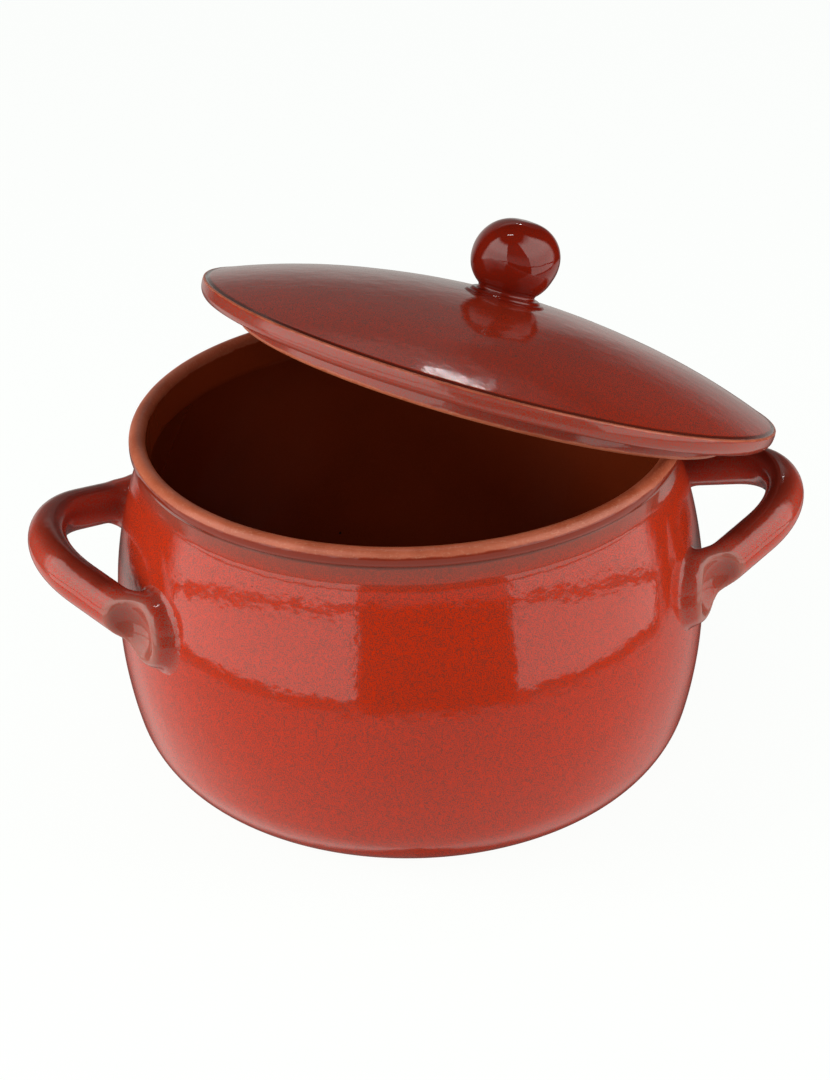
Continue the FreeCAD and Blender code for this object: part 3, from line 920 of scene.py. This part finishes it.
def softboxes(tree, compass):
    """The light of the two boxes, with the dark gap between them."""
    left = calc(tree, "MULTIPLY", ramp(tree, compass, GAP_LEFT - 0.6, GAP_LEFT, 1.0, 0.0), LEFT_LIGHT)
    right = calc(tree, "MULTIPLY", ramp(tree, compass, GAP_RIGHT, GAP_RIGHT + 0.8), RIGHT_LIGHT)
    return calc(tree, "ADD", left, right)

# %% Above the window, behind the pot and on the table
def above_window(tree, boxes, compass, height, inside):
    """The haze over the boxes, which only the neck, the rim and the lid mirror."""
    taller = calc(tree, "MULTIPLY", boxes, ramp(tree, height, 12.0, 32.0, 0.85, 1.6))
    over = calc(tree, "ADD", taller, ramp(tree, height, 12.0, 32.0, 0.42, 0.06))
    for mask in (ramp(tree, compass, -108.0, -96.0), ramp(tree, compass, 100.0, 112.0, 1.0, 0.0),
                 ramp(tree, height, 50.0, 62.0, 1.0, 0.0), ramp(tree, inside, -2.4, -1.4, 1.0, 0.0)):
        over = calc(tree, "MULTIPLY", over, mask)
    return over


def wall_behind(tree, compass, height, back_way):
    """The dim wall behind the pot, brighter low down, high up and on the left."""
    low = calc(tree, "MULTIPLY", ramp(tree, height, -12.0, 6.0, 1.0, 0.0), 0.32)
    high = calc(tree, "MULTIPLY", ramp(tree, height, 23.0, 31.0), 0.42)
    left = calc(tree, "MAXIMUM", ramp(tree, compass, 166.0, 170.0),
                ramp(tree, compass, -120.0, -110.0, 1.0, 0.0))
    wall = calc(tree, "ADD", calc(tree, "ADD", 0.09, low), high)
    wall = calc(tree, "ADD", wall, calc(tree, "MULTIPLY", left, 0.12))
    return calc(tree, "MULTIPLY", wall, ramp(tree, back_way, 0.72, 0.92))


def table_glow(tree, compass, height, inside):
    """The bright table, dim straight behind the pot and close to the window."""
    around = calc(tree, "ABSOLUTE", compass)
    table = ramp(tree, height, -60.0, -23.0, 0.66, 0.50)
    sides = calc(tree, "ADD", ramp(tree, around, 60.0, 130.0, 1.0, 1.35),
                 ramp(tree, compass, -130.0, -60.0, 0.15, 0.0))
    sides = calc(tree, "SUBTRACT", sides, ramp(tree, compass, 100.0, 150.0, 0.0, 0.35))
    table = calc(tree, "MULTIPLY", table, sides)
    table = calc(tree, "MULTIPLY", table, ramp(tree, around, 136.0, 162.0, 1.0, 0.12))
    return calc(tree, "MULTIPLY", table, ramp(tree, inside, -4.5, -1.8, 1.0, 0.0))

# %% [markdown]
# The parts are added up into one brightness for every direction. Light paths then choose what a
# ray meets: the drawn room for a reflection, an even pale sky for the soft light on the clay,
# and white for the camera.

# %% Join the room together
PALE = (0.975, 0.99, 0.975, 1)


def background(tree, colour, strength):
    node = add(tree, "ShaderNodeBackground")
    return feed(tree, node, Color=colour, Strength=strength).outputs[0]


def room():
    world = bpy.data.worlds.new("studio_room")
    world.use_nodes = True
    tree = world.node_tree
    tree.nodes.clear()
    compass, height, back_way = look_directions(tree)
    inside = inside_window(tree, compass, height)
    boxes = softboxes(tree, compass)
    over = calc(tree, "MAXIMUM", above_window(tree, boxes, compass, height, inside),
                wall_behind(tree, compass, height, back_way))
    table = table_glow(tree, compass, height, inside)
    light = add(tree, "ShaderNodeMix", data_type="FLOAT")
    feed(tree, light, n0=ramp(tree, height, -24.0, -20.0, 1.0, 0.0), n2=over, n3=table)
    window = calc(tree, "MULTIPLY", boxes, ramp(tree, inside, 0.0, 0.8))
    glossy = background(tree, (1.0, 0.97, 0.92, 1), calc(tree, "ADD", light.outputs[0], window))
    plain = background(tree, (0.98, 1.0, 0.985, 1), 0.34)
    seen = background(tree, PALE, 1.0)
    path = tree.nodes.new("ShaderNodeLightPath")
    first = tree.nodes.new("ShaderNodeMixShader")
    feed(tree, first, n0=path.outputs["Is Glossy Ray"], n1=plain, n2=glossy)
    second = tree.nodes.new("ShaderNodeMixShader")
    feed(tree, second, n0=path.outputs["Is Camera Ray"], n1=first.outputs[0], n2=seen)
    output = tree.nodes.new("ShaderNodeOutputWorld")
    tree.links.new(second.outputs[0], output.inputs["Surface"])
    return world


scene.world = room()
scene.view_settings.view_transform = "Standard"

# %% [markdown]
# The drawn room shows only in reflections. The light on the clay itself comes from three large
# lamps that reflections don't meet. Two thin strips, which they do meet, put the bright streaks
# on the lid and the knob. A single sun would give hard shadows, so none is used.

# %% Place the lamps
def lamp(name, across, toward, up, size, energy, in_reflections):
    """An area lamp placed as the camera sees it: across, toward the camera and up."""
    data = bpy.data.lights.new(name, "AREA")
    data.shape = "RECTANGLE"
    data.size, data.size_y = size
    data.energy = energy
    light = bpy.data.objects.new(name, data)
    place = side_on * across - depth * toward + Vector((0, 0, up))
    aim = Vector((0, 0, 0.1)) - place
    light.matrix_world = Matrix.Translation(place) @ aim.to_track_quat("-Z", "X").to_matrix().to_4x4()
    light.visible_glossy = in_reflections
    scene.collection.objects.link(light)
    return light


lamp("softbox_left", -1.35, 0.35, 0.45, (0.8, 0.9), 22.0, False)
lamp("softbox_right", 1.35, 0.40, 0.40, (0.8, 0.9), 17.0, False)
lamp("softbox_front", -0.2, 1.5, 0.9, (0.9, 0.9), 7.0, False)
lamp("strip_behind", 0.325, -1.05, 0.950, (0.007, 0.16), 0.20, True)
lamp("strip_above", 0.0, -0.10, 1.35, (0.02, 0.30), 0.7, True)

# %% [markdown]
# The floor is plain and pale, and the pot only darkens it a little where it stands. A white
# diffuse floor would need more light than the pot can take, so this one glows faintly itself.

# %% Lay the floor
def floor():
    half = 6.0
    corners = [(-half, -half, 0), (half, -half, 0), (half, half, 0), (-half, half, 0)]
    mesh = bpy.data.meshes.new("studio_floor")
    mesh.from_pydata(corners, [], [(0, 1, 2, 3)])
    material = bpy.data.materials.new("pale_floor")
    material.use_nodes = True
    shader = material.node_tree.nodes["Principled BSDF"]
    shader.inputs["Base Color"].default_value = (0.05, 0.05, 0.05, 1)
    shader.inputs["Roughness"].default_value = 0.9
    shader.inputs["Specular IOR Level"].default_value = 0.0
    shader.inputs["Emission Color"].default_value = PALE
    shader.inputs["Emission Strength"].default_value = 0.965
    mesh.materials.append(material)
    piece = bpy.data.objects.new("studio_floor", mesh)
    piece.visible_glossy = False
    scene.collection.objects.link(piece)


floor()
